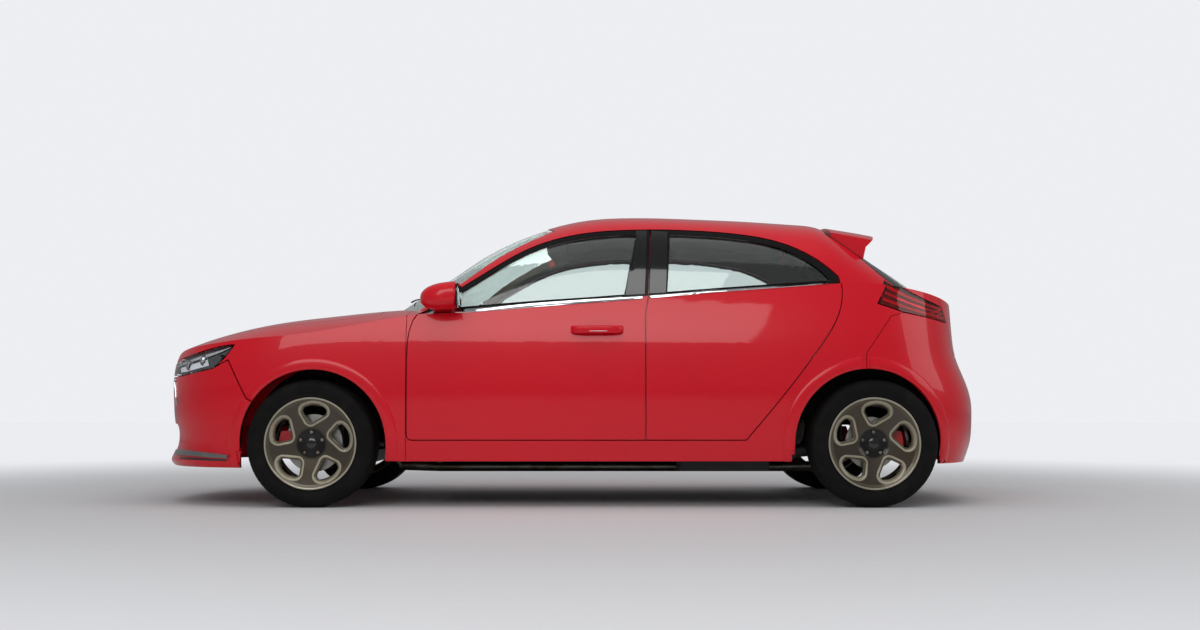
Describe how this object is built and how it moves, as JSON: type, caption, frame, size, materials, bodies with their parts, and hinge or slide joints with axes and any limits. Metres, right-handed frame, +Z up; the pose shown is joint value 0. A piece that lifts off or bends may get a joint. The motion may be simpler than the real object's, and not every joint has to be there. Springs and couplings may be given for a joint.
{
  "type": "hatchback car",
  "caption": "Compact five-door road car with opening doors, bonnet and tailgate, steered front wheels and rolling wheels on five-window rims.",
  "frame": {"origin": "on the road midway between the bumpers and between the wheels", "axes": "+X to the tail, +Y to the car's right side, +Z up"},
  "size_m": [4.1593, 2.0256, 1.4705],
  "materials": {
    "body_paint": "deep red gloss lacquer",
    "black_trim": "textured black plastic",
    "gloss_black": "gloss black frame and grille",
    "glass": "clear laminated glass",
    "lamp_clear": "clear lamp lens over a bright reflector",
    "lamp_red": "red lamp lens",
    "alloy": "graphite lacquered casting with bright bevels",
    "tyre": "black tyre rubber",
    "disc_steel": "turned disc faces",
    "caliper_red": "red lacquer",
    "chassis": "black stoving enamel",
    "engine_metal": "cast aluminium and black cover",
    "exhaust_steel": "stainless steel",
    "cabin_plastic": "grained dark plastic",
    "seat_fabric": "dark woven seat cover",
    "tank_plastic": "moulded tank"
  },
  "bodies": {
    "body": {"body_side_left": "body_paint", "body_side_right": "body_paint", "roof_panel": "body_paint", "floor_pan": "body_paint", "front_structure": "body_paint", "front_wings": "body_paint", "front_bumper": "body_paint", "grille": "gloss_black", "headlamps": "lamp_clear", "tail_lamps": "lamp_red", "rear_bumper": "body_paint", "windscreen": "glass", "dashboard": "cabin_plastic", "front_seats": "seat_fabric", "rear_bench": "seat_fabric", "exhaust": "exhaust_steel", "fuel_tank": "tank_plastic", "front_subframe": "chassis", "rear_axle": "chassis", "rear_calipers": "caliper_red", "engine": "engine_metal"},
    "bonnet": {"bonnet": "body_paint"},
    "tailgate": {"tailgate": "body_paint", "tailgate_glass": "glass", "rear_spoiler": "body_paint"},
    "steering_wheel": {"steering_wheel": "cabin_plastic"},
    "front_door_left": {"front_door_left": "body_paint", "front_door_glass_left": "glass", "mirror_left": "body_paint"},
    "rear_door_left": {"rear_door_left": "body_paint", "rear_door_glass_left": "glass"},
    "knuckle_left": {"knuckle_left": "chassis", "front_caliper_left": "caliper_red"},
    "front_wheel_left": {"front_rim_left": "alloy", "front_tyre_left": "tyre", "front_disc_left": "disc_steel"},
    "rear_wheel_left": {"rear_rim_left": "alloy", "rear_tyre_left": "tyre", "rear_disc_left": "disc_steel"},
    "front_door_right": {"front_door_right": "body_paint", "front_door_glass_right": "glass", "mirror_right": "body_paint"},
    "rear_door_right": {"rear_door_right": "body_paint", "rear_door_glass_right": "glass"},
    "knuckle_right": {"knuckle_right": "chassis", "front_caliper_right": "caliper_red"},
    "front_wheel_right": {"front_rim_right": "alloy", "front_tyre_right": "tyre", "front_disc_right": "disc_steel"},
    "rear_wheel_right": {"rear_rim_right": "alloy", "rear_tyre_right": "tyre", "rear_disc_right": "disc_steel"}
  },
  "joints": [
    {"name": "front_door_left_hinge", "type": "hinge", "parent": "body", "child": "front_door_left", "pos_m": [-0.758, -0.876, 0.6], "axis": [0, 0, -1], "range_deg": [0, 65]},
    {"name": "rear_door_left_hinge", "type": "hinge", "parent": "body", "child": "rear_door_left", "pos_m": [0.387, -0.876, 0.6], "axis": [0, 0, -1], "range_deg": [0, 65]},
    {"name": "front_door_right_hinge", "type": "hinge", "parent": "body", "child": "front_door_right", "pos_m": [-0.758, 0.876, 0.6], "axis": [0, 0, 1], "range_deg": [0, 65]},
    {"name": "rear_door_right_hinge", "type": "hinge", "parent": "body", "child": "rear_door_right", "pos_m": [0.387, 0.876, 0.6], "axis": [0, 0, 1], "range_deg": [0, 65]},
    {"name": "steer_left", "type": "hinge", "parent": "body", "child": "knuckle_left", "pos_m": [-1.231, -0.705, 0.19], "axis": [0.0493, 0.2323, 0.9714], "range_deg": [-34, 34]},
    {"name": "steer_right", "type": "hinge", "parent": "body", "child": "knuckle_right", "pos_m": [-1.231, 0.705, 0.19], "axis": [0.0493, -0.2323, 0.9714], "range_deg": [-34, 34]},
    {"name": "front_wheel_left_spin", "type": "hinge", "parent": "knuckle_left", "child": "front_wheel_left", "pos_m": [-1.231, -0.776, 0.306], "axis": [0, 1, 0], "continuous": true},
    {"name": "rear_wheel_left_spin", "type": "hinge", "parent": "body", "child": "rear_wheel_left", "pos_m": [1.469, -0.776, 0.306], "axis": [0, 1, 0], "continuous": true},
    {"name": "front_wheel_right_spin", "type": "hinge", "parent": "knuckle_right", "child": "front_wheel_right", "pos_m": [-1.231, 0.776, 0.306], "axis": [0, 1, 0], "continuous": true},
    {"name": "rear_wheel_right_spin", "type": "hinge", "parent": "body", "child": "rear_wheel_right", "pos_m": [1.469, 0.776, 0.306], "axis": [0, 1, 0], "continuous": true},
    {"name": "steering_wheel_turn", "type": "hinge", "parent": "body", "child": "steering_wheel", "pos_m": [-0.33, -0.37, 0.815], "axis": [0.9063, 0, 0.4226], "range_deg": [-480, 480]},
    {"name": "bonnet_hinge", "type": "hinge", "parent": "body", "child": "bonnet", "pos_m": [-0.935, 0, 0.96264], "axis": [0, 1, 0], "range_deg": [0, 45]},
    {"name": "tailgate_hinge", "type": "hinge", "parent": "body", "child": "tailgate", "pos_m": [1.309, 0, 1.39744], "axis": [0, -1, 0], "range_deg": [0, 70]}
  ],
  "couplings": [
    {"joint": "steer_right", "follows": "steer_left", "ratio": 1},
    {"joint": "steering_wheel_turn", "follows": "steer_left", "ratio": 14}
  ]
}
